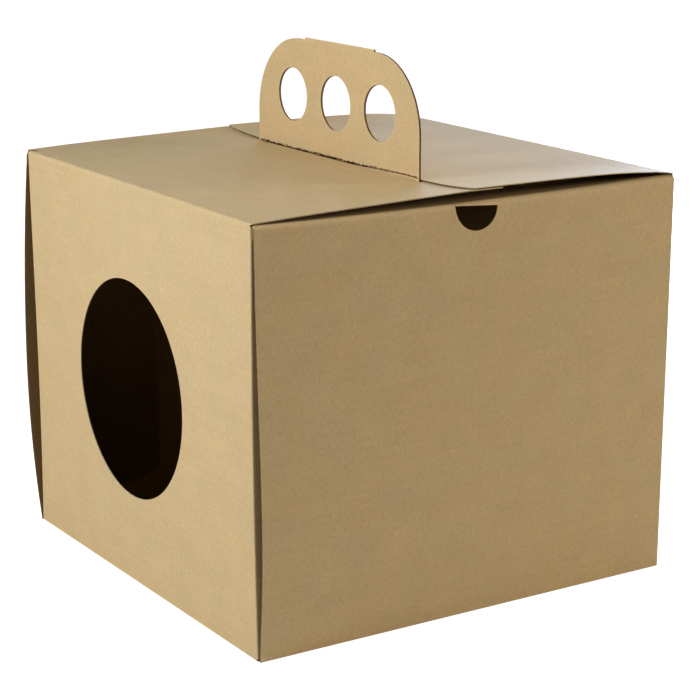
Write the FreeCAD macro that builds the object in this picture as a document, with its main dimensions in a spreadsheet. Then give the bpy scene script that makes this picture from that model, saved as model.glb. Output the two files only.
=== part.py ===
import FreeCAD, Part
import math
import os
import re

import Sketcher

# A carrier carton folded from one sheet of kraft board, standing closed on its base.
# X runs from the window wall (-) to the far wall (+), Y from the front end panel (-) to
# the back one (+) and Z up. The origin is the middle of the base, on the table.
# Two top panels meet along the middle, where the sheet rises as a doubled grip with
# three finger holes. Both ends close with a panel hinged at the base crease.

SIZES = [
    ("box_width", 232.0, "outside, window wall to far wall"),
    ("box_depth", 232.0, "outside, end panel to end panel"),
    ("box_height", 200.0, "table to the folds between walls and top panels"),
    ("board", 0.5, "thickness of the board"),
    ("play", 0.3, "gap between layers that are not glued"),
    ("fold_radius", 1.2, "outside radius of a folded edge"),
    ("glue_flap", 15.0, "flap that joins the far wall to the base"),
    ("window_radius", 54.0, "round window"),
    ("window_height", 98.5, "window centre above the table"),
    ("window_offset", 5.5, "window centre behind the middle of its wall"),
    ("seam_rise", 0.8, "rise of the window-side top panel, from its fold to the seam"),
    ("edge_rise", 2.6, "further rise of the top panels at their free edges"),
    ("grip_length", 149.0, "grip along its crease"),
    ("grip_height", 58.0, "grip above its crease"),
    ("grip_offset", 3.5, "middle of the grip behind the middle of the box"),
    ("grip_corner", 38.0, "rounded upper corners of the grip"),
    ("crest_length", 63.5, "folded edge along the top of the grip"),
    ("crest_shift", 3.7, "middle of the folded edge in front of the grip's middle"),
    ("crest_rise", 1.2, "folded edge above the cut edges beside it"),
    ("finger_radius", 13.7, "finger holes"),
    ("finger_spacing", 40.3, "from one finger hole to the next"),
    ("finger_height", 28.0, "finger holes above the crease"),
    ("crease_cuts", 15, "slits along the grip's crease"),
    ("crease_nib", 1.8, "board left between two slits"),
    ("crease_gap", 0.3, "width of a slit"),
    ("ear_length", 18.0, "ears of the window-side panel under the far-side one"),
    ("ear_gap", 1.5, "cut between the grip and each ear"),
    ("seam_setback", 1.0, "free edge of the far-side panel behind the grip"),
    ("dust_length", 70.0, "dust flaps, measured from the wall"),
    ("dust_foot", 4.0, "lower edge of the dust flaps above the table"),
    ("dust_head", 8.0, "upper edge of the dust flaps below the box height"),
    ("dust_taper", 16.0, "slope of the dust flaps' upper and lower edges"),
    ("front_bow", 3.2, "outward bow of the front end panel"),
    ("front_bow_height", 55.0, "where the front end panel bows most, above the table"),
    ("back_bow", 12.5, "outward bow of the back end panel"),
    ("back_bow_height", 85.0, "where the back end panel bows most, above the table"),
    ("fold_drop", 1.5, "top fold of an end panel below the box height"),
    ("tuck_length", 24.0, "flat part of the tuck flap"),
    ("tuck_droop", 8.0, "degrees that the tuck flap hangs below level"),
    ("tuck_inset", 4.0, "tuck flap short of the walls"),
    ("tuck_corner", 14.0, "rounded corners of the tuck flap"),
    ("notch_radius", 11.6, "half-round thumb notch"),
    ("notch_drop", 1.8, "straight edge of the notch below the fold"),
]

# Places that several pieces share, in terms of the sizes.
WALL_X = "(box_width / 2)"
FOLD_X = "(box_width / 2 - 2 * fold_radius)"
DUST_Y = "(box_depth / 2 - board - play)"
EDGE_Y = "(box_depth / 2 - board - play - fold_radius)"
GRIP_HALF = "(grip_length / 2)"
EAR_FRONT = "(grip_offset - grip_length / 2 - ear_gap)"
EAR_BACK = "(grip_offset + grip_length / 2 + ear_gap)"
CREASE_Z = "(box_height + seam_rise)"
LAYER = "(board + play)"
GRIP_THICK = "(2 * board + play)"
END_Y = "(box_depth / 2 - board / 2)"
FOLD_TOP = "(box_height - fold_drop)"

NEAR = 1e-3  # two places closer than this are the same one


def make_sheet(doc):
    sheet = doc.addObject("Spreadsheet::Sheet", "Sizes")
    for row, (alias, value, note) in enumerate(SIZES, start=1):
        sheet.set(f"A{row}", note)
        sheet.set(f"B{row}", str(value))
        sheet.setAlias(f"B{row}", alias)
    doc.recompute()
    return sheet


def bound(text):
    """The formula with each size pointing at its cell."""
    return re.sub(r"[a-z]+(_[a-z]+)+|board|play", r"Sizes.\g<0>", text)


class Maker:
    """Adds sketches and features to one body, with every size bound to the sheet."""

    def __init__(self, doc, name):
        self.doc = doc
        self.body = doc.addObject("PartDesign::Body", name)
        self.body.Label = name

    def value(self, formula):
        return float(self.doc.Sizes.evalExpression(bound(formula)))

    def origin(self, role):
        return next(o for o in self.body.Origin.OriginFeatures if o.Role == role)

    def sketch(self, name, plane, offset="0"):
        sketch = self.body.newObject("Sketcher::SketchObject", name)
        sketch.AttachmentSupport = [(self.origin(plane), "")]
        sketch.MapMode = "FlatFace"
        sketch.setExpression("AttachmentOffset.Base.z", bound(f"({offset}) * 1 mm"))
        self.doc.recompute()
        return sketch

    def hold(self, sketch, constraint, formula):
        index = sketch.addConstraint(constraint)
        sketch.setExpression(f"Constraints[{index}]", bound(formula))

    def pin(self, sketch, edge, point, x, y):
        at = sketch.getPoint(edge, point)
        self.hold(sketch, Sketcher.Constraint("DistanceX", -1, 1, edge, point, at.x), x)
        self.hold(sketch, Sketcher.Constraint("DistanceY", -1, 1, edge, point, at.y), y)

    def outline(self, sketch, corners):
        """A closed outline. Each corner is (x, y), or (x, y, radius) where the edge that
        arrives is an arc, counterclockwise for a positive radius."""
        spots = [FreeCAD.Vector(self.value(c[0]), self.value(c[1]), 0) for c in corners]
        first = sketch.GeometryCount
        count = len(corners)
        for i in range(count):
            start, end, corner = spots[i - 1], spots[i], corners[i]
            if len(corner) == 2:
                sketch.addGeometry(Part.LineSegment(start, end), False)
            else:
                sketch.addGeometry(arc_between(start, end, self.value(corner[2])), False)
        forward = [len(c) == 2 or self.value(c[2]) > 0 for c in corners]
        for i in range(count):
            edge, after = first + i, first + (i + 1) % count
            tail = 2 if forward[i] else 1
            head = 1 if forward[(i + 1) % count] else 2
            sketch.addConstraint(Sketcher.Constraint("Coincident", edge, tail, after, head))
            self.pin(sketch, edge, tail, corners[i][0], corners[i][1])
            if len(corners[i]) == 3:
                radius = abs(self.value(corners[i][2]))
                rule = Sketcher.Constraint("Radius", edge, radius)
                self.hold(sketch, rule, f"abs({corners[i][2]})")

    def circle(self, sketch, x, y, radius):
        centre, size = FreeCAD.Vector(self.value(x), self.value(y), 0), self.value(radius)
        edge = sketch.addGeometry(Part.Circle(centre, FreeCAD.Vector(0, 0, 1), size), False)
        self.pin(sketch, edge, 3, x, y)
        self.hold(sketch, Sketcher.Constraint("Radius", edge, size), radius)

    def pad(self, name, sketch, length, side="One side"):
        pad = self.body.newObject("PartDesign::Pad", name)
        pad.Profile = sketch
        pad.SideType = side
        pad.setExpression("Length", bound(length))
        self.doc.recompute()
        return pad

    def pocket(self, name, sketch, length, side="One side", reverse=False):
        before = self.body.Shape.Volume
        pocket = self.body.newObject("PartDesign::Pocket", name)
        pocket.Profile = sketch
        pocket.SideType = side
        pocket.Reversed = reverse
        pocket.setExpression("Length", bound(length))
        self.doc.recompute()
        if self.body.Shape.Volume >= before:
            raise RuntimeError(f"{name} cut nothing")
        return pocket

    def loft(self, name, start, end):
        loft = self.body.newObject("PartDesign::AdditiveLoft", name)
        loft.Profile = start
        loft.Sections = [end]
        loft.Ruled = True
        self.doc.recompute()
        return loft

    def row(self, name, feature, count, length):
        """Repeats a feature along Y."""
        row = self.body.newObject("PartDesign::LinearPattern", name)
        row.Originals = [feature]
        row.Direction = (self.origin("Y_Axis"), [""])
        row.setExpression("Occurrences", bound(count))
        row.setExpression("Length", bound(length))
        self.body.Tip = row
        self.doc.recompute()

    def fillet(self, name, radius, wanted):
        """Rounds the edges of the newest feature that wanted(edge) picks."""
        base = self.body.Tip
        picked = [f"Edge{i}" for i, e in enumerate(base.Shape.Edges, 1) if wanted(e)]
        if not picked:
            raise RuntimeError(f"{name} found no edge")
        fillet = self.body.newObject("PartDesign::Fillet", name)
        fillet.Base = (base, picked)
        fillet.setExpression("Radius", bound(radius))
        self.doc.recompute()
        return fillet


def arc_between(start, end, radius):
    """The shorter arc from start to end, counterclockwise for a positive radius."""
    chord = end.sub(start)
    reach = math.sqrt(radius * radius - chord.Length**2 / 4)
    left = FreeCAD.Vector(-chord.y, chord.x, 0).normalize()
    centre = start.add(end).multiply(0.5).add(left.multiply(math.copysign(reach, radius)))
    circle = Part.Circle(centre, FreeCAD.Vector(0, 0, 1), abs(radius))
    first, last = (start, end) if radius > 0 else (end, start)
    angles = [math.atan2(p.y - centre.y, p.x - centre.x) for p in (first, last)]
    return Part.ArcOfCircle(circle, *angles)


def along_y(edge, x, z):
    """True for a straight edge that runs along Y at this x and z."""
    ends = [v.Point for v in edge.Vertexes]
    return len(ends) == 2 and all(abs(p.x - x) < NEAR and abs(p.z - z) < NEAR for p in ends)


def sagitta_radius(span, rise):
    """The radius of an arc that leaves level and has risen by rise after span."""
    return f"((({span})^2 + ({rise})^2) / (2 * ({rise})))"


def make_tube(maker):
    """Base, both walls, the stubs of the top panels and the glue flap, as one strip."""
    profile = maker.sketch("tube_profile", "XZ_Plane")
    maker.outline(profile, [
        (f"-{WALL_X}", "0"),
        (WALL_X, "0"),
        (WALL_X, "box_height"),
        (FOLD_X, "box_height"),
        (FOLD_X, "box_height - board"),
        (f"{WALL_X} - board", "box_height - board"),
        (f"{WALL_X} - board", "2 * board"),
        (f"{WALL_X} - board - glue_flap", "2 * board"),
        (f"{WALL_X} - board - glue_flap", "board"),
        (f"board - {WALL_X}", "board"),
        (f"board - {WALL_X}", "box_height - board"),
        (f"-{FOLD_X}", "box_height - board"),
        (f"-{FOLD_X}", "box_height"),
        (f"-{WALL_X}", "box_height"),
    ])
    maker.pad("tube", profile, f"2 * {EDGE_Y}", side="Symmetric")
    wall, top, board = (maker.value(t) for t in (WALL_X, "box_height", "board"))
    outside = [(-wall, top), (wall, top), (-wall, 0.0)]
    inside = [(board - wall, top - board), (wall - board, top - board), (board - wall, board)]
    maker.fillet("outer_folds", "fold_radius", lambda e: any(along_y(e, *p) for p in outside))
    maker.fillet("inner_folds", "fold_radius - board", lambda e: any(along_y(e, *p) for p in inside))

    floor = maker.sketch("base_outline", "XY_Plane")
    maker.outline(floor, [
        (f"fold_radius - {WALL_X}", f"-{DUST_Y}"),
        (WALL_X, f"-{DUST_Y}"),
        (WALL_X, DUST_Y),
        (f"fold_radius - {WALL_X}", DUST_Y),
    ])
    maker.pad("base_edges", floor, "board")


def panel_section(maker, name, x, rise, spring=None):
    """A top panel cut along Y: level by the grip, and sprung up at both free edges."""
    over = f"box_height + {rise}"
    under = f"{over} - board"
    lift = spring or "0"
    front, back = f"{EAR_FRONT} + {EDGE_Y}", f"{EDGE_Y} - {EAR_BACK}"

    def bend(span, sign):
        return (f"{sign} * {sagitta_radius(span, spring)}",) if spring else ()

    section = maker.sketch(name, "YZ_Plane", x)
    maker.outline(section, [
        (f"-{EDGE_Y}", f"{under} + {lift}"),
        (EAR_FRONT, under, *bend(front, 1)),
        (EAR_BACK, under),
        (EDGE_Y, f"{under} + {lift}", *bend(back, 1)),
        (EDGE_Y, f"{over} + {lift}"),
        (EAR_BACK, over, *bend(back, -1)),
        (EAR_FRONT, over),
        (f"-{EDGE_Y}", f"{over} + {lift}", *bend(front, -1)),
    ])
    return section


def make_far_panel(maker):
    """The top panel on the far side, which lies over the other one's ears."""
    fold = panel_section(maker, "far_panel_fold", FOLD_X, "0")
    seam = panel_section(maker, "far_panel_seam", "play / 2", f"seam_rise + {LAYER}", "edge_rise")
    maker.loft("far_panel", fold, seam)

    trim = maker.sketch("far_panel_trim", "XY_Plane", "box_height")
    for inner, outer in (
        (f"grip_offset - {GRIP_HALF}", f"-{EDGE_Y} - play"),
        (f"grip_offset + {GRIP_HALF}", f"{EDGE_Y} + play"),
    ):
        maker.outline(trim, [
            ("-play", inner),
            ("seam_setback + play / 2", inner),
            ("seam_setback + play / 2", outer),
            ("-play", outer),
        ])
    maker.pocket("far_panel_edge", trim, "grip_height", reverse=True)


def make_window_panel(maker):
    """The top panel on the window side, up to the slit under the grip."""
    fold = panel_section(maker, "window_panel_fold", f"-{FOLD_X}", "0")
    seam = panel_section(maker, "window_panel_seam", "-play / 2", "seam_rise", "edge_rise")
    maker.loft("window_panel", fold, seam)


def make_grip(maker):
    """Two layers folded over at the crest, with a narrow gap between them."""
    crest_z = f"({CREASE_Z} + grip_height)"
    shoulder_z = f"({crest_z} - crest_rise)"
    front, back = f"grip_offset - {GRIP_HALF}", f"grip_offset + {GRIP_HALF}"
    crest_y = "grip_offset - crest_shift"
    outline = maker.sketch("grip_outline", "YZ_Plane")
    maker.outline(outline, [
        (front, f"{CREASE_Z} - board / 2"),
        (back, f"{CREASE_Z} - board / 2"),
        (back, f"{shoulder_z} - grip_corner"),
        (f"{back} - grip_corner", shoulder_z, "grip_corner"),
        (f"{crest_y} + crest_length / 2", shoulder_z),
        (f"{crest_y} + crest_length / 2", crest_z),
        (f"{crest_y} - crest_length / 2", crest_z),
        (f"{crest_y} - crest_length / 2", shoulder_z),
        (f"{front} + grip_corner", shoulder_z),
        (front, f"{shoulder_z} - grip_corner", "grip_corner"),
    ])
    maker.pad("grip", outline, GRIP_THICK, side="Symmetric")
    half, top = maker.value(f"{GRIP_THICK} / 2"), maker.value(crest_z)
    maker.fillet("grip_crest", "board", lambda e: any(along_y(e, s * half, top) for s in (-1, 1)))

    gap = maker.sketch("grip_gap", "XZ_Plane")
    bend_z = f"{crest_z} - board - play / 2"
    maker.outline(gap, [
        ("-play / 2", f"{CREASE_Z} - board"),
        (LAYER, f"{CREASE_Z} - board"),
        (LAYER, CREASE_Z),
        ("play / 2", CREASE_Z),
        ("play / 2", bend_z),
        ("0", f"{crest_z} - board", "play / 2"),
        ("-play / 2", bend_z, "play / 2"),
    ])
    maker.pocket("grip_layers", gap, "2 * box_depth", side="Symmetric")


def make_finger_holes(maker):
    """A row of round holes through both layers of the grip."""
    place = ("grip_offset - finger_spacing", f"{CREASE_Z} + finger_height")
    hole = maker.sketch("finger_hole_outline", "YZ_Plane")
    maker.circle(hole, *place, "finger_radius")
    cut = maker.pocket("finger_hole", hole, f"2 * {GRIP_THICK}", side="Symmetric")
    maker.row("finger_holes", cut, "3", "2 * finger_spacing")


def make_crease_cuts(maker):
    """Slits through the grip's front layer, just above its crease, with nibs between."""
    step = "((grip_length - crease_nib) / crease_cuts)"
    start = f"grip_offset - {GRIP_HALF} + crease_nib"
    end = f"grip_offset - {GRIP_HALF} + {step}"
    outline = maker.sketch("crease_cut_outline", "YZ_Plane")
    maker.outline(outline, [
        (start, CREASE_Z),
        (end, CREASE_Z),
        (end, f"{CREASE_Z} + crease_gap"),
        (start, f"{CREASE_Z} + crease_gap"),
    ])
    cut = maker.pocket("crease_cut", outline, GRIP_THICK)
    maker.row("crease_cuts", cut, "crease_cuts", f"(crease_cuts - 1) * {step}")


def make_ears(maker):
    """The window-side panel runs on under the far-side one, in front of and behind the grip."""
    share = f"(({FOLD_X} - ear_length) / ({FOLD_X} - play / 2))"
    tip_rise = f"((seam_rise + {LAYER}) * {share} - {LAYER})"
    ends = (
        ("root", "-play / 2", "seam_rise", "edge_rise"),
        ("tip", "ear_length", tip_rise, f"(edge_rise * {share})"),
    )
    for name, near, far, side in (
        ("front_ear", EAR_FRONT, f"-{EDGE_Y}", -1),
        ("back_ear", EAR_BACK, EDGE_Y, 1),
    ):
        sections = []
        for end, x, rise, spring in ends:
            over = f"box_height + {rise}"
            bend = sagitta_radius(f"{far} - {near}", spring)
            section = maker.sketch(f"{name}_{end}", "YZ_Plane", x)
            maker.outline(section, [
                (near, f"{over} - board"),
                (far, f"{over} - board + {spring}", f"{side} * {bend}"),
                (far, f"{over} + {spring}"),
                (near, over, f"{-side} * {bend}"),
            ])
            sections.append(section)
        maker.loft(name, *sections)


def make_window(maker):
    """The round window, cut through its wall only."""
    disc = maker.sketch("window_outline", "YZ_Plane", f"-{WALL_X} - fold_radius")
    maker.circle(disc, "window_offset", "window_height", "window_radius")
    maker.pocket("window", disc, "2 * fold_radius + board", reverse=True)


def dust_flap_outline(side, end):
    """One dust flap seen from above, folded in at a wall's upright edge. side and end are
    the signs of its corner's x and y."""

    def spot(x, y, *bend):
        return (f"{side} * ({x})", f"{end} * ({y})", *(f"{side * end} * ({b})" for b in bend))

    return [
        spot(WALL_X, EDGE_Y),
        spot(f"{WALL_X} - fold_radius", DUST_Y, "fold_radius"),
        spot(f"{WALL_X} - dust_length", DUST_Y),
        spot(f"{WALL_X} - dust_length", f"{DUST_Y} - board"),
        spot(f"{WALL_X} - fold_radius", f"{DUST_Y} - board"),
        spot(f"{WALL_X} - board", EDGE_Y, "board - fold_radius"),
    ]


def make_dust_flaps(maker):
    """Four flaps folded in from the walls' upright edges, behind the end panels."""
    folds = maker.sketch("dust_flap_folds", "XY_Plane", "dust_foot")
    for side in (-1, 1):
        for end in (-1, 1):
            maker.outline(folds, dust_flap_outline(side, end))
    maker.pad("dust_flaps", folds, "box_height - dust_head - dust_foot")

    taper = maker.sketch("dust_flap_tapers", "XZ_Plane")
    free, fixed = f"({WALL_X} - dust_length - play)", f"({WALL_X} - 2 * fold_radius)"
    for side in (-1, 1):
        for level, slope in (("dust_foot", "dust_taper"), ("(box_height - dust_head)", "-dust_taper")):
            maker.outline(taper, [
                (f"{side} * {free}", level),
                (f"{side} * {fixed}", level),
                (f"{side} * {free}", f"{level} + {slope}"),
            ])
    maker.pocket("dust_flap_edges", taper, "2 * box_depth", side="Symmetric")


def make_carton_body(doc):
    maker = Maker(doc, "carton_body")
    make_tube(maker)
    make_far_panel(maker)
    make_window_panel(maker)
    make_grip(maker)
    make_finger_holes(maker)
    make_crease_cuts(maker)
    make_ears(maker)
    make_window(maker)
    make_dust_flaps(maker)
    return maker.body


def bow_circles(end):
    """The two circles that the middle of an end panel's board follows, as (radius, y, z):
    one below the place where it bows most, one above."""
    bow, height = f"{end}_bow", f"{end}_bow_height"
    circles = []
    for rise in (f"({height} - board / 2)", f"({FOLD_TOP} - board / 2 - {height})"):
        radius = f"(({rise}^2 + {bow}^2) / (2 * {bow}))"
        circles.append((radius, f"-{END_Y} - {bow} + {radius}", height))
    return circles


def away(start, end):
    return math.atan2(end.y - start.y, end.x - start.x)


def arc(centre, radius, start, end):
    return Part.ArcOfCircle(Part.Circle(centre, FreeCAD.Vector(0, 0, 1), radius), start, end)


def end_profile_edges(maker, end):
    """The bowed panel, its round foot, its top fold and the drooping tuck flap."""
    (low_radius, *low_place), (high_radius, *high_place) = (
        [maker.value(text) for text in circle] for circle in bow_circles(end)
    )
    half, board, fold = (maker.value(text) for text in (END_Y, "board", "fold_radius"))
    below, above = FreeCAD.Vector(*low_place, 0), FreeCAD.Vector(*high_place, 0)
    hinge = FreeCAD.Vector(-half, board / 2, 0)
    fold_z = maker.value(f"{FOLD_TOP} - fold_radius")
    reach = high_radius + board / 2 - fold
    fold_y = above.x - math.sqrt(reach**2 - (fold_z - above.y) ** 2)
    bend = FreeCAD.Vector(fold_y, fold_z, 0)
    low, high = away(below, hinge), away(above, bend)
    lean = math.pi / 2 - math.radians(maker.value("tuck_droop"))
    normal = FreeCAD.Vector(math.cos(lean), math.sin(lean), 0)
    run = FreeCAD.Vector(normal.y, -normal.x, 0).multiply(maker.value("tuck_length"))
    top, under = (bend.add(FreeCAD.Vector(normal).multiply(r)) for r in (fold, fold - board))
    return [
        arc(hinge, board / 2, low, low + math.pi),
        arc(below, low_radius + board / 2, math.pi, low),
        arc(below, low_radius - board / 2, math.pi, low),
        arc(above, high_radius + board / 2, high, math.pi),
        arc(above, high_radius - board / 2, high, math.pi),
        arc(bend, fold, lean, high),
        arc(bend, fold - board, lean, high),
        Part.LineSegment(top, top.add(run)),
        Part.LineSegment(under, under.add(run)),
        Part.LineSegment(top.add(run), under.add(run)),
    ]


def end_profile(maker, end):
    """The section of an end panel along YZ, held by its tangencies.

    The panel ends at the base crease in a half round about the hinge line.
    """
    profile = maker.sketch("end_profile", "YZ_Plane")
    for edge in end_profile_edges(maker, end):
        profile.addGeometry(edge, False)
    foot, low_out, low_in, high_out, high_in, crest, hollow, upper, under, tip = range(10)
    for rule in (
        ("Tangent", low_out, 2, foot, 1),
        ("Tangent", foot, 2, low_in, 2),
        ("Tangent", low_out, 1, high_out, 2),
        ("Tangent", low_in, 1, high_in, 2),
        ("Tangent", high_out, 1, crest, 2),
        ("Tangent", high_in, 1, hollow, 2),
        ("Tangent", crest, 1, upper, 1),
        ("Tangent", hollow, 1, under, 1),
        ("Coincident", upper, 2, tip, 1),
        ("Coincident", under, 2, tip, 2),
        ("Coincident", low_out, 3, low_in, 3),
        ("Coincident", high_out, 3, high_in, 3),
        ("Coincident", crest, 3, hollow, 3),
        ("Parallel", upper, under),
        ("Perpendicular", upper, tip),
    ):
        profile.addConstraint(Sketcher.Constraint(*rule))
    maker.pin(profile, foot, 3, f"-{END_Y}", "board / 2")
    for edge, (_, centre_y, centre_z) in zip((low_out, high_out), bow_circles(end)):
        maker.pin(profile, edge, 3, centre_y, centre_z)
    for kind, formula, *places in (
        ("Radius", "board / 2", foot),
        ("Radius", "fold_radius", crest),
        ("DistanceY", f"{FOLD_TOP} - fold_radius", -1, 1, crest, 3),
        ("Distance", "tuck_length", upper),
        ("Angle", "-tuck_droop * 1 deg", upper),
    ):
        start = math.radians(-maker.value("tuck_droop")) if kind == "Angle" else maker.value(formula)
        maker.hold(profile, Sketcher.Constraint(kind, *places, start), formula)
    return profile


def make_end_panel(doc, end, turn):
    """An end panel hinged at the base crease. turn is its angle about the upright axis."""
    maker = Maker(doc, f"{end}_end_panel")
    maker.pad("end_panel", end_profile(maker, end), "box_width", side="Symmetric")

    corners = maker.sketch("tuck_corners", "XY_Plane", FOLD_TOP)
    root = f"(-{DUST_Y})"
    tip = f"({root} + tuck_length + 2 * fold_radius)"
    side = f"({WALL_X} - board - tuck_inset)"
    shoulder = f"({root} + tuck_length * cos(tuck_droop * 1 deg) + fold_radius - tuck_corner)"
    for sign in (1, -1):
        clear = f"{sign} * ({WALL_X} + play)"
        maker.outline(corners, [
            (clear, root),
            (f"{sign} * {side}", root),
            (f"{sign} * {side}", shoulder),
            (f"{sign} * ({side} - tuck_corner)", f"{shoulder} + tuck_corner", f"{sign} * tuck_corner"),
            (f"{sign} * ({side} - tuck_corner)", tip),
            (clear, tip),
        ])
    maker.pocket("tuck_flap_shape", corners, "tuck_length", side="Symmetric")

    notch = maker.sketch("notch_outline", "XZ_Plane", f"box_depth / 2 + {end}_bow")
    edge = f"{FOLD_TOP} - notch_drop"
    maker.outline(notch, [
        ("-notch_radius", edge),
        ("0", f"{edge} - notch_radius", "notch_radius"),
        ("notch_radius", edge, "notch_radius"),
    ])
    maker.pocket("thumb_notch", notch, f"{end}_bow + 3 * board")
    maker.body.Placement = FreeCAD.Placement(
        FreeCAD.Vector(), FreeCAD.Rotation(FreeCAD.Vector(0, 0, 1), turn)
    )
    return maker.body


def check(doc, bodies):
    for obj in doc.Objects:
        if "Invalid" in obj.State or "Error" in obj.State:
            raise RuntimeError(f"{obj.Name} failed: {obj.State}")
    for body in bodies:
        shape = body.Shape
        if shape.isNull() or not shape.isValid() or len(shape.Solids) != 1:
            raise RuntimeError(f"{body.Label} is not one valid solid")
        print(f"{body.Label}: {shape.Volume:.0f} mm3, {len(shape.Faces)} faces")


def main():
    os.makedirs("parts", exist_ok=True)
    doc = FreeCAD.newDocument("carrier_carton")
    make_sheet(doc)
    bodies = [
        make_carton_body(doc),
        make_end_panel(doc, "front", 0),
        make_end_panel(doc, "back", 180),
    ]
    doc.recompute()
    check(doc, bodies)
    for body in bodies:
        body.Shape.exportStep(f"parts/{body.Label}.step")


main()
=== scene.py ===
import math
import random

import bpy
import numpy as np
from mathutils import Matrix, Vector
from mathutils.geometry import delaunay_2d_cdt


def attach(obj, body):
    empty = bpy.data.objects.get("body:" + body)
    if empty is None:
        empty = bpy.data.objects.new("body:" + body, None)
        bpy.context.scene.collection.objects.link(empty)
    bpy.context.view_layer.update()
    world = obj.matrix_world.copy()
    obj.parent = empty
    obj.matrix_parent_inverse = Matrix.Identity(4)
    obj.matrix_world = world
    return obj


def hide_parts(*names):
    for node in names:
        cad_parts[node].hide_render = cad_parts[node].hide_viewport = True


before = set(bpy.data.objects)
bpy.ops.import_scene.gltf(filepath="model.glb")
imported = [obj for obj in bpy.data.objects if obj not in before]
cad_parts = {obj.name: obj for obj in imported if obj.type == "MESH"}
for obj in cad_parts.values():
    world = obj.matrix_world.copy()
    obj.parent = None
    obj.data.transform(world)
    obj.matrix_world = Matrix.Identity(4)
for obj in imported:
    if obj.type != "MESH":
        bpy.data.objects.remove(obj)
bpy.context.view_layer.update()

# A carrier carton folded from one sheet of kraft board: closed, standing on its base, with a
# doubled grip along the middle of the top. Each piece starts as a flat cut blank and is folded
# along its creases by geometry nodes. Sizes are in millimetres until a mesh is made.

mm = 0.001
scene = bpy.context.scene
scene.view_settings.view_transform = "Standard"
print("frame loaded")


def addObject(name, data):
    thing = bpy.data.objects.new(name, data)
    scene.collection.objects.link(thing)
    return thing


def aimAt(thing, place, target):
    thing.location = place
    toward = Vector(target) - Vector(place)
    thing.rotation_euler = toward.to_track_quat("-Z", "Y").to_euler()


# camera

cameraSet = {
    "place": (-0.5524, -0.8773, 0.3744),
    "aim": (0.0063, 0.0, 0.1024),
    "lens": 108.27, "sensor": 36,
    "clip": (0.05, 50),
}


def makeCamera(s):
    data = bpy.data.cameras.new("camera")
    data.lens, data.sensor_width = s["lens"], s["sensor"]
    data.clip_start, data.clip_end = s["clip"]
    camera = addObject("camera", data)
    aimAt(camera, s["place"], s["aim"])
    scene.camera = camera


makeCamera(cameraSet)
print("camera set")


# node helpers

def newGroup(name, kind, inputs, outputs):
    group = bpy.data.node_groups.new(name, kind)
    for label, socketType, value in inputs:
        socket = group.interface.new_socket(name=label, in_out="INPUT", socket_type=socketType)
        if value is not None:
            socket.default_value = value
    for label, socketType in outputs:
        group.interface.new_socket(name=label, in_out="OUTPUT", socket_type=socketType)
    return group, group.nodes.new("NodeGroupInput"), group.nodes.new("NodeGroupOutput")


def inputSockets(tree):
    items = tree.interface.items_tree
    return {item.name: item.identifier for item in items if item.in_out == "INPUT"}


def addNode(tree, kind, inputs=None, **settings):
    node = tree.nodes.new(kind)
    for key, value in settings.items():
        setattr(node, key, value)
    for key, value in (inputs or {}).items():
        if isinstance(value, bpy.types.NodeSocket):
            tree.links.new(value, node.inputs[key])
        else:
            node.inputs[key].default_value = value
    return node


def calc(tree, operation, *values, clamp=False):
    settings = {"operation": operation, "use_clamp": clamp}
    return addNode(tree, "ShaderNodeMath", dict(enumerate(values)), **settings).outputs[0]


def vectorCalc(tree, operation, *values, output="Vector"):
    inputs = dict(enumerate(values))
    return addNode(tree, "ShaderNodeVectorMath", inputs, operation=operation).outputs[output]


def scaled(tree, vector, factor):
    inputs = {"Vector": vector, "Scale": factor}
    return addNode(tree, "ShaderNodeVectorMath", inputs, operation="SCALE").outputs[0]


def joined(tree, x, y, z):
    return addNode(tree, "ShaderNodeCombineXYZ", {"X": x, "Y": y, "Z": z}).outputs[0]


def noise(tree, vector, scale, detail=2.0, roughness=0.5):
    return addNode(tree, "ShaderNodeTexNoise", {
        "Vector": vector, "Scale": scale, "Detail": detail, "Roughness": roughness,
    }).outputs


def remap(tree, value, start, end, low=0.0, high=1.0, **settings):
    # start to end becomes low to high, and stays there beyond
    return addNode(tree, "ShaderNodeMapRange", {
        "Value": value, "From Min": start, "From Max": end, "To Min": low, "To Max": high,
    }, **settings).outputs[0]


# board materials

boardColours = {
    "outer": (0.616, 0.466, 0.247),
    "outerDark": (0.504, 0.376, 0.190),
    # painted shade: the inner side is much darker than the outer kraft, standing in for the shade
    # inside the closed carton
    "inner": (0.250, 0.145, 0.052),
    "innerDark": (0.200, 0.112, 0.038),
    "cut": (0.740, 0.600, 0.340),
    # painted shade: the colour cut edges take where they are painted as lying in shade
    "cutPaintedShade": (0.110, 0.057, 0.022),
    "fleckDark": (0.230, 0.140, 0.070),
    "fleckLight": (0.760, 0.640, 0.440),
    "worn": (0.720, 0.570, 0.370),
}


def makeFibresGroup():
    # fine fibres lying mostly along the board, some across it, over a soft cloud
    group, source, sink = newGroup("boardFibres", "ShaderNodeTree", [
        ("Vector", "NodeSocketVector", None),
        ("Along", "NodeSocketFloat", 500.0),
        ("Across", "NodeSocketFloat", 2200.0),
        ("Cloud", "NodeSocketFloat", 380.0),
        ("Darkest", "NodeSocketFloat", 0.39),
        ("Palest", "NodeSocketFloat", 0.61),
    ], [("Tone", "NodeSocketFloat"), ("Height", "NodeSocketFloat")])
    vector, along, across, cloud, darkest, palest = (source.outputs[i] for i in range(6))
    stretch, turned = joined(group, along, across, along), joined(group, across, along, along)
    long = noise(group, vectorCalc(group, "MULTIPLY", vector, stretch), 1.0, 3.0, 0.6)[0]
    short = noise(group, vectorCalc(group, "MULTIPLY", vector, turned), 0.8)[0]
    soft = noise(group, vector, cloud, 4.0, 0.6)[0]
    tone = calc(group, "MULTIPLY", long, 0.5)
    for layer in (short, soft):
        tone = calc(group, "ADD", tone, calc(group, "MULTIPLY", layer, 0.25))
    group.links.new(remap(group, tone, darkest, palest), sink.inputs["Tone"])
    group.links.new(tone, sink.inputs["Height"])
    return group


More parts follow.
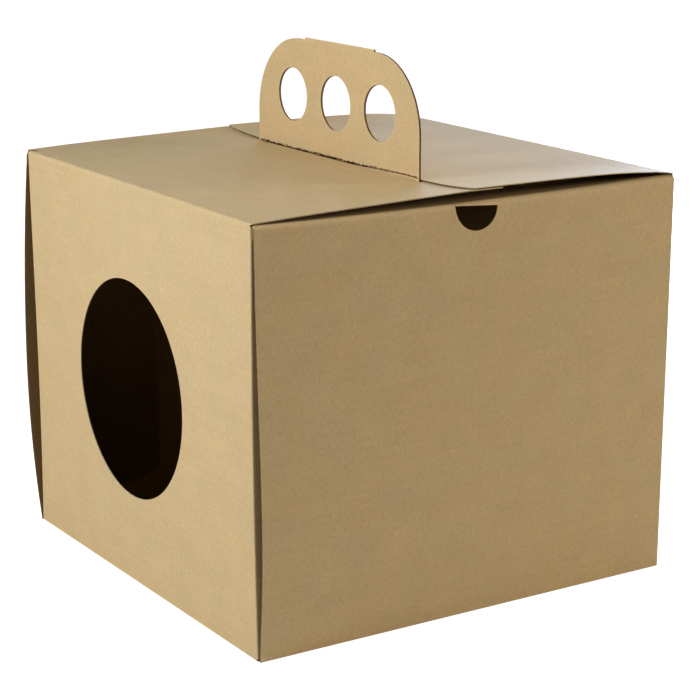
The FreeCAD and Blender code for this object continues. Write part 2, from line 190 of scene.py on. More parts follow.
def makeFlecksGroup():
    # scattered bark specks and pale fibre bundles, in the cells that the amount picks
    group, source, sink = newGroup("boardFlecks", "ShaderNodeTree", [
        ("Vector", "NodeSocketVector", None),
        ("Scale", "NodeSocketFloat", 620.0),
        ("Amount", "NodeSocketFloat", 0.2),
        ("Size", "NodeSocketFloat", 0.25),
        ("Wobble", "NodeSocketFloat", 0.0012),
    ], [("Dark", "NodeSocketFloat"), ("Light", "NodeSocketFloat")])
    vector, scale, amount, size, wobble = (source.outputs[i] for i in range(5))
    cloud = noise(group, vector, 900.0, 1.0)["Color"]
    sway = scaled(group, vectorCalc(group, "SUBTRACT", cloud, (0.5, 0.5, 0.5)), wobble)
    moved = vectorCalc(group, "ADD", vector, sway)
    for label, stretch in (("Dark", (1.0, 1.5, 1.0)), ("Light", (0.45, 1.6, 1.0))):
        cells = addNode(group, "ShaderNodeTexVoronoi", {
            "Vector": vectorCalc(group, "MULTIPLY", moved, stretch),
            "Scale": scale, "Randomness": 1.0,
        }).outputs
        parts = addNode(group, "ShaderNodeSeparateColor", {"Color": cells["Color"]}).outputs
        chosen = calc(group, "LESS_THAN", parts["Red"], amount)
        reach = calc(group, "MULTIPLY", size, calc(group, "ADD", parts["Green"], 0.4))
        spot = remap(group, cells["Distance"], calc(group, "MULTIPLY", reach, 0.5), reach, 1.0, 0.0)
        group.links.new(calc(group, "MULTIPLY", spot, chosen), sink.inputs[label])
    return group


def makeDriftGroup():
    # slow changes of shade and warmth, and faint streaks along the board's grain
    group, source, sink = newGroup("boardDrift", "ShaderNodeTree", [
        ("Vector", "NodeSocketVector", None),
        ("Patch", "NodeSocketFloat", 55.0),
        ("Streak", "NodeSocketFloat", 420.0),
    ], [("Shade", "NodeSocketFloat"), ("Warmth", "NodeSocketFloat")])
    vector, patch, streak = (source.outputs[i] for i in range(3))
    slow = noise(group, vector, patch, 3.0)
    long = vectorCalc(group, "MULTIPLY", vector, (0.045, 1.0, 1.0))
    slowPart = calc(group, "MULTIPLY", slow[0], 0.6)
    streakPart = calc(group, "MULTIPLY", noise(group, long, streak)[0], 0.4)
    colour = addNode(group, "ShaderNodeSeparateColor", {"Color": slow["Color"]}).outputs
    group.links.new(calc(group, "ADD", slowPart, streakPart), sink.inputs["Shade"])
    group.links.new(colour["Green"], sink.inputs["Warmth"])
    return group


def makeWearGroup():
    # broken-up wear that fades away from creases and from cut edges
    group, source, sink = newGroup("creaseWear", "ShaderNodeTree", [
        ("Vector", "NodeSocketVector", None),
        ("Crease Distance", "NodeSocketFloat", 1.0),
        ("Edge Distance", "NodeSocketFloat", 1.0),
        ("Crease Width", "NodeSocketFloat", 0.0014),
        ("Edge Width", "NodeSocketFloat", 0.0009),
    ], [("Crease", "NodeSocketFloat"), ("Edge", "NodeSocketFloat")])
    patches = noise(group, source.outputs["Vector"], 420.0, 3.0, 0.65)[0]
    breakUp = remap(group, patches, 0.35, 0.6)
    for label in ("Crease", "Edge"):
        distance, width = (source.outputs[f"{label} {part}"] for part in ("Distance", "Width"))
        near = remap(group, distance, 0.0, width, 1.0, 0.0, interpolation_type="SMOOTHSTEP")
        group.links.new(calc(group, "MULTIPLY", near, breakUp), sink.inputs[label])
    return group


boardGroups = {
    "fibres": makeFibresGroup(),
    "flecks": makeFlecksGroup(),
    "drift": makeDriftGroup(),
    "wear": makeWearGroup(),
}


def placeGroup(tree, name, inputs):
    return addNode(tree, "ShaderNodeGroup", inputs, node_tree=boardGroups[name]).outputs


def attributeOf(tree, label):
    return addNode(tree, "ShaderNodeAttribute", attribute_name=label).outputs["Fac"]


def mixColour(tree, factor, a, b, blend="MIX"):
    node = addNode(tree, "ShaderNodeMix", {0: factor}, data_type="RGBA", blend_type=blend)
    for socket, value in ((node.inputs[6], a), (node.inputs[7], b)):
        if isinstance(value, bpy.types.NodeSocket):
            tree.links.new(value, socket)
        else:
            socket.default_value = (*value, 1.0)
    return node.outputs[2]


def newMaterial(name):
    material = bpy.data.materials.new(name)
    material.use_nodes = True
    tree = material.node_tree
    return material, tree, tree.nodes["Principled BSDF"]


def makeBoard(name, light, dark, s):
    material, tree, shader = newMaterial(name)
    vector = addNode(tree, "ShaderNodeUVMap", uv_map="sheetMap").outputs[0]
    fibres = placeGroup(tree, "fibres", {
        "Vector": vector, "Along": s["along"], "Across": s["across"],
    })
    flecks = placeGroup(tree, "flecks", {"Vector": vector, "Amount": s["fleckAmount"]})
    drift = placeGroup(tree, "drift", {"Vector": vector})
    wear = placeGroup(tree, "wear", {
        "Vector": vector, "Crease Distance": attributeOf(tree, "creaseDistance"),
        "Edge Distance": attributeOf(tree, "edgeDistance"),
    })

    tone = fibres["Tone"]
    if name == "cutEdge":  # painted light and shade: the cut shows the board's pale middle where it is painted lit, and goes dark where it is painted in shade
        pale = calc(tree, "MULTIPLY_ADD", attributeOf(tree, "edgePaintedLight"), 0.8, -0.1)
        tone = calc(tree, "MULTIPLY_ADD", tone, 0.3, pale, clamp=True)
    colour = mixColour(tree, tone, dark, light)
    shade = remap(tree, drift["Shade"], 0.3, 0.7, 1 - s["drift"], 1 + s["drift"])
    warm = remap(tree, drift["Warmth"], 0.35, 0.65, -s["warmth"], s["warmth"])
    tint = addNode(tree, "ShaderNodeCombineColor", {
        "Red": calc(tree, "ADD", shade, warm), "Green": shade,
        "Blue": calc(tree, "SUBTRACT", shade, warm),
    }).outputs[0]
    colour = mixColour(tree, 1.0, colour, tint, "MULTIPLY")
    for mask, strength, paint in (
        (flecks["Dark"], "fleckDark", "fleckDark"),
        (flecks["Light"], "fleckLight", "fleckLight"),
        (wear["Crease"], "creaseWear", "worn"),
        (wear["Edge"], "edgeWear", "worn"),
    ):
        share = calc(tree, "MULTIPLY", mask, s[strength])
        colour = mixColour(tree, share, colour, boardColours[paint])

    rough = remap(tree, fibres["Tone"], 0.0, 1.0, s["rough"] - 0.06, s["rough"] + 0.08)
    height = calc(tree, "ADD", fibres["Height"], calc(tree, "MULTIPLY", flecks["Light"], 0.4))
    bump = addNode(tree, "ShaderNodeBump", {
        "Strength": s["bump"], "Distance": s["bumpDepth"], "Height": height,
    }).outputs[0]
    tree.links.new(colour, shader.inputs["Base Color"])
    tree.links.new(rough, shader.inputs["Roughness"])
    tree.links.new(bump, shader.inputs["Normal"])
    shader.inputs["Specular IOR Level"].default_value = s["specular"]
    return material


outerSet = {
    "along": 520.0, "across": 2300.0,
    "fleckAmount": 0.16, "fleckDark": 0.26, "fleckLight": 0.22,
    "drift": 0.05, "warmth": 0.018, "creaseWear": 0.10, "edgeWear": 0.35,
    "rough": 0.60, "bump": 0.35, "bumpDepth": 0.00012, "specular": 0.06,
}
innerSet = {
    **outerSet, "fleckAmount": 0.1, "fleckDark": 0.3, "fleckLight": 0.04,
    "edgeWear": 0.15, "rough": 0.75, "specular": 0.04,
}
cutSet = {
    **outerSet, "fleckAmount": 0.05, "creaseWear": 0.0, "edgeWear": 0.0,
    "rough": 0.8, "bump": 0.5, "specular": 0.02,
}
kraftOuter = makeBoard("kraftOuter", boardColours["outer"], boardColours["outerDark"], outerSet)
kraftInnerShaded = makeBoard("kraftInnerShaded", boardColours["inner"], boardColours["innerDark"], innerSet)
cutEdge = makeBoard("cutEdge", boardColours["cut"], boardColours["cutPaintedShade"], cutSet)
boardMaterials = [kraftOuter, kraftInnerShaded, cutEdge]
print("board materials made")


# folding

foldParts = ("place", "radius", "angle")


def storedValue(tree, label, kind="FLOAT_VECTOR"):
    node = addNode(tree, "GeometryNodeInputNamedAttribute", {"Name": label}, data_type=kind)
    return node.outputs[0]


def makeFoldGroup():
    # bends whatever lies past a crease of the flat sheet round that crease, as board does
    group, source, sink = newGroup("foldAtCrease", "GeometryNodeTree", [
        ("Geometry", "NodeSocketGeometry", None),
        ("Selection", "NodeSocketBool", True),
        ("Direction", "NodeSocketVector", None),
        ("Inside", "NodeSocketVector", None),
        ("Place", "NodeSocketFloat", 0.0),
        ("Radius", "NodeSocketFloat", 0.001),
        ("Angle", "NodeSocketFloat", 0.0),
    ], [("Geometry", "NodeSocketGeometry")])
    geometry, selection, direction, inside, place, radius, angle = (
        source.outputs[i] for i in range(7)
    )
    along = vectorCalc(group, "DOT_PRODUCT", storedValue(group, "flat"), direction, output="Value")
    bend = calc(group, "MULTIPLY", radius, calc(group, "ABSOLUTE", angle))
    start = calc(group, "SUBTRACT", place, calc(group, "MULTIPLY", bend, 0.5))
    share = calc(group, "DIVIDE", calc(group, "SUBTRACT", along, start), bend, clamp=True)
    inward = scaled(group, inside, calc(group, "MULTIPLY", radius, calc(group, "SIGN", angle)))
    centre = vectorCalc(group, "ADD", scaled(group, direction, start), inward)
    position = addNode(group, "GeometryNodeInputPosition").outputs[0]
    passed = scaled(group, direction, calc(group, "MULTIPLY", bend, share))
    turned = addNode(group, "ShaderNodeVectorRotate", {
        "Vector": vectorCalc(group, "SUBTRACT", position, passed), "Center": centre,
        "Axis": vectorCalc(group, "CROSS_PRODUCT", direction, inside),
        "Angle": calc(group, "MULTIPLY", angle, share),
    }, rotation_type="AXIS_ANGLE").outputs[0]
    moved = addNode(group, "GeometryNodeSetPosition", {
        "Geometry": geometry, "Selection": selection, "Position": turned,
    })
    group.links.new(moved.outputs[0], sink.inputs[0])
    return group


foldAtCrease = makeFoldGroup()


def foldSheet(sheet, name, folds, inside, place):
    # folds, outermost first: (label, direction, selection, crease place, radius, angle)
    tree, source, sink = newGroup(name, "GeometryNodeTree", [
        ("Geometry", "NodeSocketGeometry", None),
        *((f"{fold[0]} {part}", "NodeSocketFloat", None) for fold in folds for part in foldParts),
        ("Standing Place", "NodeSocketVector", None),
    ], [("Geometry", "NodeSocketGeometry")])
    geometry = source.outputs[0]
    for label, direction, selection, *_ in folds:
        inputs = {"Geometry": geometry, "Direction": direction, "Inside": inside}
        if selection:
            inputs["Selection"] = storedValue(tree, selection, "BOOLEAN")
        for part in foldParts:
            inputs[part.capitalize()] = source.outputs[f"{label} {part}"]
        geometry = addNode(tree, "GeometryNodeGroup", inputs, node_tree=foldAtCrease).outputs[0]
    # settle is how far each point has crept from its folded place once the carton stands
    offset = vectorCalc(tree, "ADD", source.outputs["Standing Place"], storedValue(tree, "settle"))
    moved = addNode(tree, "GeometryNodeSetPosition", {"Geometry": geometry, "Offset": offset})
    realized = addNode(tree, "GeometryNodeRealizeInstances", {"Geometry": moved.outputs[0]})
    painted = addNode(tree, "GeometryNodeSetMaterial", {
        "Geometry": realized.outputs[0], "Material": kraftOuter,
    })
    tree.links.new(painted.outputs[0], sink.inputs[0])

    modifier = sheet.modifiers.new(name, "NODES")
    modifier.node_group = tree
    sockets = inputSockets(tree)
    for label, _, _, at, radius, angle in folds:
        for part, value in zip(foldParts, (at * mm, radius * mm, angle)):
            modifier[sockets[f"{label} {part}"]] = value
    modifier[sockets["Standing Place"]] = [v * mm for v in place]


def leavePlain(piece):
    # the evaluated result becomes the piece's own mesh, and its modifiers go
    evaluated = piece.evaluated_get(bpy.context.evaluated_depsgraph_get())
    mesh = bpy.data.meshes.new_from_object(evaluated)
    piece.modifiers.clear()
    piece.data = mesh
    mesh.name = piece.name
    print(f"{piece.name}: {len(mesh.polygons)} faces")
    return mesh


def finishSheet(sheet, s):
    # gives the folded sheet its thickness, with the inner side and the cut edges painted
    solid = sheet.modifiers.new("board", "SOLIDIFY")
    solid.thickness = s["board"] * mm
    solid.offset = 2 * s["outside"] / s["board"] - 1
    solid.material_offset, solid.material_offset_rim = 1, 2
    mesh = leavePlain(sheet)
    mesh.polygons.foreach_set("use_smooth", [True] * len(mesh.polygons))
    mesh.set_sharp_from_angle(angle=math.radians(50))  # cut edges stay crisp, folds don't
    for label in ("flat", "settle", "tucked", "onGrip"):
        if label in mesh.attributes:
            mesh.attributes.remove(mesh.attributes[label])


# flat blanks

slack = 0.05  # lets an outline's own points count as lying past a line


def roundedLoop(corners, step=0.8):
    # an outline from (a, b) corners and (a, b, radius) rounded ones, with a point every step
    points = []
    count = len(corners)
    for i, corner in enumerate(corners):
        here = Vector(corner[:2])
        if len(corner) < 3:
            points.append(here)
            continue
        before = (Vector(corners[i - 1][:2]) - here).normalized()
        after = (Vector(corners[(i + 1) % count][:2]) - here).normalized()
        half = before.angle(after) / 2
        centre = here + (before + after).normalized() * corner[2] / math.sin(half)
        first = here + before * corner[2] / math.tan(half) - centre
        last = here + after * corner[2] / math.tan(half) - centre
        sweep = first.angle_signed(last)
        pieces = max(4, int(abs(sweep) * corner[2] / step))
        for k in range(pieces + 1):
            cos, sin = math.cos(-sweep * k / pieces), math.sin(-sweep * k / pieces)
            turned = Vector((first.x * cos - first.y * sin, first.x * sin + first.y * cos))
            points.append(centre + turned)
    return [tuple(p) for p in points]


def ringLoop(a, b, radius, count):
    turns = [2 * math.pi * k / count for k in range(count)]
    return [(a + radius * math.cos(t), b + radius * math.sin(t)) for t in turns]


def gridLines(low, high, step, dense):
    # even lines, and close ones across each (start, end) of dense
    guard, across = 0.6, 9  # the outer two lie this far off a fold, the rest over it
    lines = list(np.linspace(low, high, max(2, round((high - low) / step))))
    for start, end in dense:
        lines = [v for v in lines if v < start - guard * 1.5 or v > end + guard * 1.5]
        lines += [start - guard, *np.linspace(start, end, across), end + guard]
    return np.array(sorted(v for v in lines if low <= v <= high))


def splitAtLines(loop, linesA, linesB):
    # adds a point wherever an outline crosses a grid line, unless it has one there
    nearEnd, shortest = 1e-3, 0.02
    result = []
    for i, (a, b) in enumerate(loop):
        nextA, nextB = loop[(i + 1) % len(loop)]
        shares = {0.0}
        for start, end, lines in ((a, nextA, linesA), (b, nextB, linesB)):
            if abs(end - start) > 1e-6:
                cuts = (lines - start) / (end - start)
                shares.update(float(c) for c in cuts[(cuts > nearEnd) & (cuts < 1 - nearEnd)])
        result += [(a + (nextA - a) * t, b + (nextB - b) * t) for t in sorted(shares)]
    cleaned = [result[0]]
    for point in result[1:]:
        if math.dist(point, cleaned[-1]) > shortest:
            cleaned.append(point)
    return cleaned


def edgesOf(loops):
    starts = np.concatenate([np.array(loop) for loop in loops])
    ends = np.concatenate([np.roll(np.array(loop), -1, axis=0) for loop in loops])
    return starts, ends


def insideLoops(points, loops):
    starts, ends = edgesOf(loops)
    inside = np.zeros(len(points), bool)
    for (a0, b0), (a1, b1) in zip(starts, ends):
        if b0 == b1:
            continue
        crosses = (b0 > points[:, 1]) != (b1 > points[:, 1])
        inside ^= crosses & (points[:, 0] < (a1 - a0) * (points[:, 1] - b0) / (b1 - b0) + a0)
    return inside


def distanceTo(points, loops):
    starts, ends = edgesOf(loops)
    nearest = np.full(len(points), 1e9)
    for start, end in zip(starts, ends):
        run = end - start
        share = np.clip((points - start) @ run / max(run @ run, 1e-12), 0, 1)
        away = np.linalg.norm(points - start - share[:, None] * run, axis=1)
        nearest = np.minimum(nearest, away)
    return nearest


def distanceToFolds(values, folds):
    gaps = [np.maximum(np.maximum(start - values, values - end), 0) for start, end in folds]
    return np.min(gaps, axis=0)


def cutBlank(loops, linesA, linesB):
    # a triangle mesh of the flat blank: points (a, b) and faces
    clearance, sliver = 0.25, 0.004
    loops = [splitAtLines(loop, linesA, linesB) for loop in loops]
    grid = np.array([(a, b) for a in linesA for b in linesB])
    grid = grid[insideLoops(grid, loops)]
    grid = grid[distanceTo(grid, loops) > clearance]
    border, edges = [], []
    for loop in loops:
        first = len(border)
        border += loop
        edges += [(first + i, first + (i + 1) % len(loop)) for i in range(len(loop))]
    spots = [Vector(p) for p in border] + [Vector(p) for p in grid]
    verts, _, faces, *_ = delaunay_2d_cdt(spots, edges, [], 0, 1e-5)
    points = np.array([tuple(v) for v in verts])
    faces = np.array(faces)
    a, b, c = (points[faces[:, i]] for i in range(3))
    longest = np.max([np.linalg.norm(side, axis=1) for side in (b - a, c - b, a - c)], axis=0)
    height = np.abs(np.cross(b - a, c - a)) / longest  # slivers along straight edges are dropped
    faces = faces[insideLoops(points[faces].mean(axis=1), loops) & (height > sliver)]
    used = np.unique(faces)
    remapped = np.zeros(len(points), int)
    remapped[used] = np.arange(len(used))
    return points[used], remapped[faces], loops


def newSheet(name, places, flat, settle, faces, outward, mapping, values):
    # places, flat and settle in mm; outward is where the outer side faces while the blank is flat
    mesh = bpy.data.meshes.new(name)
    a, b, c = (places[faces[:, i]] for i in range(3))
    wrong = np.einsum("ij,j->i", np.cross(b - a, c - a), np.array(outward, float)) < 0
    faces = np.where(wrong[:, None], faces[:, ::-1], faces)
    mesh.from_pydata((places * mm).tolist(), [], faces.tolist())
    for label, data in (("flat", flat), ("settle", settle)):
        layer = mesh.attributes.new(label, "FLOAT_VECTOR", "POINT")
        layer.data.foreach_set("vector", (data * mm).ravel())
    for label, (kind, data) in values.items():
        layer = mesh.attributes.new(label, kind, "POINT")
        layer.data.foreach_set("value", data)
    uvs = mesh.uv_layers.new(name="sheetMap")
    corners = np.zeros(len(mesh.loops), int)
    mesh.loops.foreach_get("vertex_index", corners)
    uvs.data.foreach_set("uv", (mapping[corners] * mm).ravel())
    for material in boardMaterials:
        mesh.materials.append(material)
    return addObject(name, mesh)


def smooth(value, low, high):
    share = np.clip((value - low) / (high - low), 0, 1)
    return share * share * (3 - 2 * share)


# the sheet that wraps round: base, window wall, top panels with the grip between, far wall

sleeveSet = {
    "board": 0.48, "outside": 0.25,
    # middle of the board, seen from the front, from the base's free edge round to the glue flap
    "corners": [
        (115.6, 0.25), (-115.75, 0.25), (-115.75, 199.75), (-0.25, 200.55), (-0.25, 258.55),
        (0.25, 258.55), (0.25, 201.35), (117.9, 200.2), (116.0, 0.95), (100.5, 0.95),
    ],
    "radii": [0.95, 0.95, 0.5, 0.25, 0.25, 0.5, 0.95, 0.95],
    # how far each panel reaches from the middle, at its front and back end
    "baseEnd": 115.2, "wallEnds": (114.0, 114.0), "topEnds": (114.0, 114.0),
    "windowCorners": (115.5, 117.1), "farCorners": (115.6, 114.0), "glueTaper": (2, 10),
    # how far the window wall's top strays, and each upright edge's pinch: (most, how low down)
    "wallSkew": 1.5, "wallPinch": ((1.4, 0.0), (1.7, 1.4)), "pinchBand": (92, 114),
    # the dust flaps' foot and head on the wall, and their shape
    "dustFold": 0.5, "dustFoot": 1.4, "dustHead": 198.5, "dustNotch": 3.5, "dustSlope": 2,
    "dustTaper": 16.0, "dustTip": 184.3, "dustCorner": 5.0,
    # the ears that slip under the far-side top panel, and the grip between them
    "earReach": 18.0, "earEnds": (72.5, 79.5), "earRounding": (1.2, 4.0),
    "gripEnds": (71.0, 78.0), "gripCorners": (36.0, 40.0), "shoulder": 257.6,
    "crestEnds": (31.95, 31.55), "seamSetback": 0.25, "seamCorner": 0.6,
    # the spring of the top panels: (at the grip, gain towards the wall, how sharply it ends)
    "edgeRise": 2.6, "windowSpring": (0.95, -0.8, 10), "farSpring": (1, 0.3, 5),
    "panelReach": 115.0, "earGap": 0.13, "earTilt": 2.4 / 115.35,  # the ears fall away below
    "window": (98.6, 5.8, 54.1),  # height, place, radius
    "fingerHoles": (-36.9, 2.9, 43.7), "fingerHeight": 228.8, "fingerRadius": 13.7,
    "backHoleShift": (0.2, 0.25),  # the back layer's holes sit this much lower and to the front
    "step": 5.0,
}
foldNames = [
    "Base Fold", "Window Fold", "Grip Front", "Crest Front",
    "Crest Back", "Grip Back", "Far Fold", "Glue Fold",
]


def findCreases(corners, radii):
    # each fold's (start, end, signed angle) along the flat sheet, by name, and the sheet's length
    creases, travelled, spent = {}, 0.0, 0.0
    for i, (name, radius) in enumerate(zip(foldNames, radii), start=1):
        arrive = Vector(corners[i]) - Vector(corners[i - 1])
        leave = Vector(corners[i + 1]) - Vector(corners[i])
        angle = math.atan2(arrive.y * leave.x - arrive.x * leave.y, arrive.dot(leave))
        tangent = radius * math.tan(abs(angle) / 2)
        start = travelled + arrive.length - spent - tangent
        end = start + radius * abs(angle)
        creases[name] = (start, end, angle)
        travelled, spent = end, tangent
    last = (Vector(corners[-1]) - Vector(corners[-2])).length
    return creases, travelled + last - spent


def placeAt(s, creases, fold, z):
    # the place along the sheet at height z, on the upright panel that follows this fold
    i = foldNames.index(fold)
    return creases[fold][1] + abs(z - s["corners"][i + 1][1]) - s["radii"][i]


def sleeveSide(s, creases, length, k):
    # one end of the outline, from base to glue flap: (along, out from the middle, corner radius)
    base, window, gripFold, back, far, glue = (creases[name] for name in (
        "Base Fold", "Window Fold", "Grip Front", "Grip Back", "Far Fold", "Glue Fold",
    ))
    wall, top, ear, grip, crest, rounding = (s[key][k] for key in (
        "wallEnds", "topEnds", "earEnds", "gripEnds", "crestEnds", "gripCorners",
    ))
    foot, head, tip, corner = s["dustFoot"], s["dustHead"], s["dustTip"], s["dustCorner"]
    notch, taper = head - s["dustNotch"], s["dustTaper"]
    root = wall + s["dustFold"] * math.pi / 2 + 0.1  # clear of the dust flap's fold
    dustFlap = [
        (foot, wall), (foot, root), (foot + taper, tip, corner), (notch - taper, tip, corner),
        (notch, root + s["dustSlope"]), (head, root), (head, wall),
    ]
    upGrip = placeAt(s, creases, "Grip Front", s["shoulder"])
    downGrip = placeAt(s, creases, "Crest Back", s["shoulder"])
    earRoot, earTip = gripFold[0] - 0.1, gripFold[0] + s["earReach"]  # cut free of the fold
    seam = back[1] + s["seamSetback"]
    return [
        (0.0, s["baseEnd"]), (base[0], s["baseEnd"]), (base[0], wall),
        *((placeAt(s, creases, "Base Fold", z), *rest) for z, *rest in dustFlap),
        (window[0], wall), (window[1], s["windowCorners"][k]),
        (earTip, top, s["earRounding"][0]), (earTip, ear, s["earRounding"][1]),
        (earRoot, ear), (earRoot, grip),
        (upGrip, grip, rounding), (upGrip, crest), (downGrip, crest), (downGrip, grip, rounding),
        (seam, grip), (seam, top, s["seamCorner"]),
        (far[0], s["farCorners"][k]), (far[1], wall),
        *((placeAt(s, creases, "Far Fold", z), *rest) for z, *rest in reversed(dustFlap)),
        (glue[0], wall), (glue[1], wall - s["glueTaper"][0]), (length, wall - s["glueTaper"][1]),
    ]


def sleeveHoles(s, creases):
    height, place, radius = s["window"]
    loops = [ringLoop(placeAt(s, creases, "Base Fold", height), place, radius, count=200)]
    for place in s["fingerHoles"]:
        for fold, drop, shift in (("Grip Front", 0, 0), ("Crest Back", *s["backHoleShift"])):
            along = placeAt(s, creases, fold, s["fingerHeight"] - drop)
            loops.append(ringLoop(along, place - shift, s["fingerRadius"], count=64))
    return loops


slitSet = {
    "count": 9, "points": 15, "seed": 4,
    "margin": 0.7, "bridge": (0.06, 0.2),  # to the grip's ends, and half of what joins two slits
    "start": -1.05, "climb": 1.9, "climbOver": (-8.0, 66.0),  # across the crease, to the front
    "width": 1.9, "ragged": (0.75, 1.2), "waver": 0.1, "narrowing": 0.5, "tipWidth": 0.7,
}


def slitLoops(s, gripEnds, crease):
    # ragged slits through the grip's crease; towards the front they climb clear of it
    dice = random.Random(s["seed"])
    low, high = s["margin"] - gripEnds[0], gripEnds[1] - s["margin"]
    step = (high - low) / s["count"]
    loops = []
    for i in range(s["count"]):
        start = low + step * i + dice.uniform(*s["bridge"])
        end = low + step * (i + 1) - dice.uniform(*s["bridge"])
        lower, upper = [], []
        for k in range(s["points"] + 1):
            v = start + (end - start) * k / s["points"]
            climb = float(smooth(-v, *s["climbOver"]))
            width = s["width"] * (1 - s["narrowing"] * climb) * dice.uniform(*s["ragged"])
            width *= s["tipWidth"] if k in (0, s["points"]) else 1.0
            edge = crease + s["start"] + s["climb"] * climb + dice.uniform(-s["waver"], s["waver"])
            lower.append((edge, v))
            upper.append((edge + width, v))
        loops.append(lower + upper[::-1])
    return loops


def pastEnds(v, ends):
    return (v < slack - ends[0]) | (v > ends[1] - slack)


def sleeveMasks(s, u, v, creases):
    # which points lie on the ears, on the walls with their dust flaps, and on the dust flaps
    grip = creases["Grip Front"][0]
    ear = (u > grip - slack) & (u < grip + s["earReach"] + slack) & pastEnds(v, s["earEnds"])
    head = s["dustHead"] + slack
    onWindowWall = (u > creases["Base Fold"][0]) & (u < placeAt(s, creases, "Base Fold", head))
    onFarWall = (u > placeAt(s, creases, "Far Fold", head)) & (u < creases["Glue Fold"][1])
    onWall = onWindowWall | onFarWall
    return ear, onWall, onWall & pastEnds(v, s["wallEnds"])


def sprung(rise, share, atGrip, gain, power):
    return rise * (atGrip + gain * share) * (1 - share ** power)


def springLift(s, u, v, creases, ear):
    # how far the top panels spring up from flat, towards their free edges
    window, gripFront = creases["Window Fold"][1], creases["Grip Front"][0]
    gripBack, far = creases["Grip Back"][1], creases["Far Fold"][0]
    earEnd, topEnd = (np.where(v < 0, *s[key]) for key in ("earEnds", "topEnds"))
    edge = np.clip((np.abs(v) - earEnd) / (topEnd - earEnd), 0, None) ** 2
    rise = s["edgeRise"] * edge
    across = np.clip((gripFront - u) / (gripFront - window), 0, 1)
    windowLift = sprung(rise, across, *s["windowSpring"])
    across = np.clip((u - gripBack) / (far - gripBack), 0, 1)
    farLift = sprung(rise, across, *s["farSpring"])
    across = np.clip((u - gripFront) / s["panelReach"], 0, 1)
    drop = s["earGap"] * edge + across * s["panelReach"] * s["earTilt"]
    earLift = sprung(rise, across, *s["farSpring"]) - drop  # just under the far-side panel
    onWindow = (u > window) & (u <= gripFront - slack)
    onFar = (u > gripBack) & (u < far)
    return np.select([ear, onWindow, onFar], [earLift, windowLift, farLift], 0.0)


def wallSettle(s, u, v, creases):
    # the window wall's top strays to the back, and its upright edges pinch in
    base, window, grip = creases["Base Fold"][1], creases["Window Fold"], creases["Grip Front"][0]
    shift = s["wallSkew"] * np.interp(u, [base, window[0], window[1], grip], [0, 1, 1, 0])
    up = np.clip((u - base) / (window[0] - base), 0, 1)
    for sign, (most, lowness) in zip((-1, 1), s["wallPinch"]):
        height = np.sin(np.pi * up) * (1 + lowness * (0.5 - up))
        shift = shift - sign * most * height * smooth(sign * v, *s["pinchBand"])
    return np.column_stack([0 * u, shift, 0 * u])


# painted light and shade: how pale each stretch of cut edge is painted, by how lit it is
edgeLightSet = {
    "grip": 0.0, "farCorner": 0.0, "windowRim": 0.9, "windowSide": 0.45, "farSide": 0.85,
    "seam": (0.1, 0.5), "seamBand": (96, 112),  # in the middle, and more past the band
    "seamWidth": 1.2, "farCornerWidth": 12, "rimReach": 70, "rimClear": 2,
}


def paintedEdgeLight(s, u, v, creases, ear):
    # painted light and shade on the cut edges: pale where they are lit, and brown round the grip
    # and at the seam where they lie in shade
    gripStart, gripEnd = creases["Grip Front"][0], creases["Grip Back"][1]
    onGrip = (u > gripStart - slack) & (u < gripEnd) & ~ear
    onSeam = (u >= gripEnd) & (u < gripEnd + s["seamWidth"])
    inCorner = (v < 0) & (u > creases["Far Fold"][0] - s["farCornerWidth"])
    onRim = (u < creases["Window Fold"][0] - s["rimClear"]) & (np.abs(v) < s["rimReach"])
    seam = s["seam"][0] + s["seam"][1] * smooth(np.abs(v), *s["seamBand"])
    return np.select(
        [onGrip, onSeam, inCorner, onRim, u < gripStart],
        [s["grip"], seam, s["farCorner"], s["windowRim"], s["windowSide"]], s["farSide"],
    )


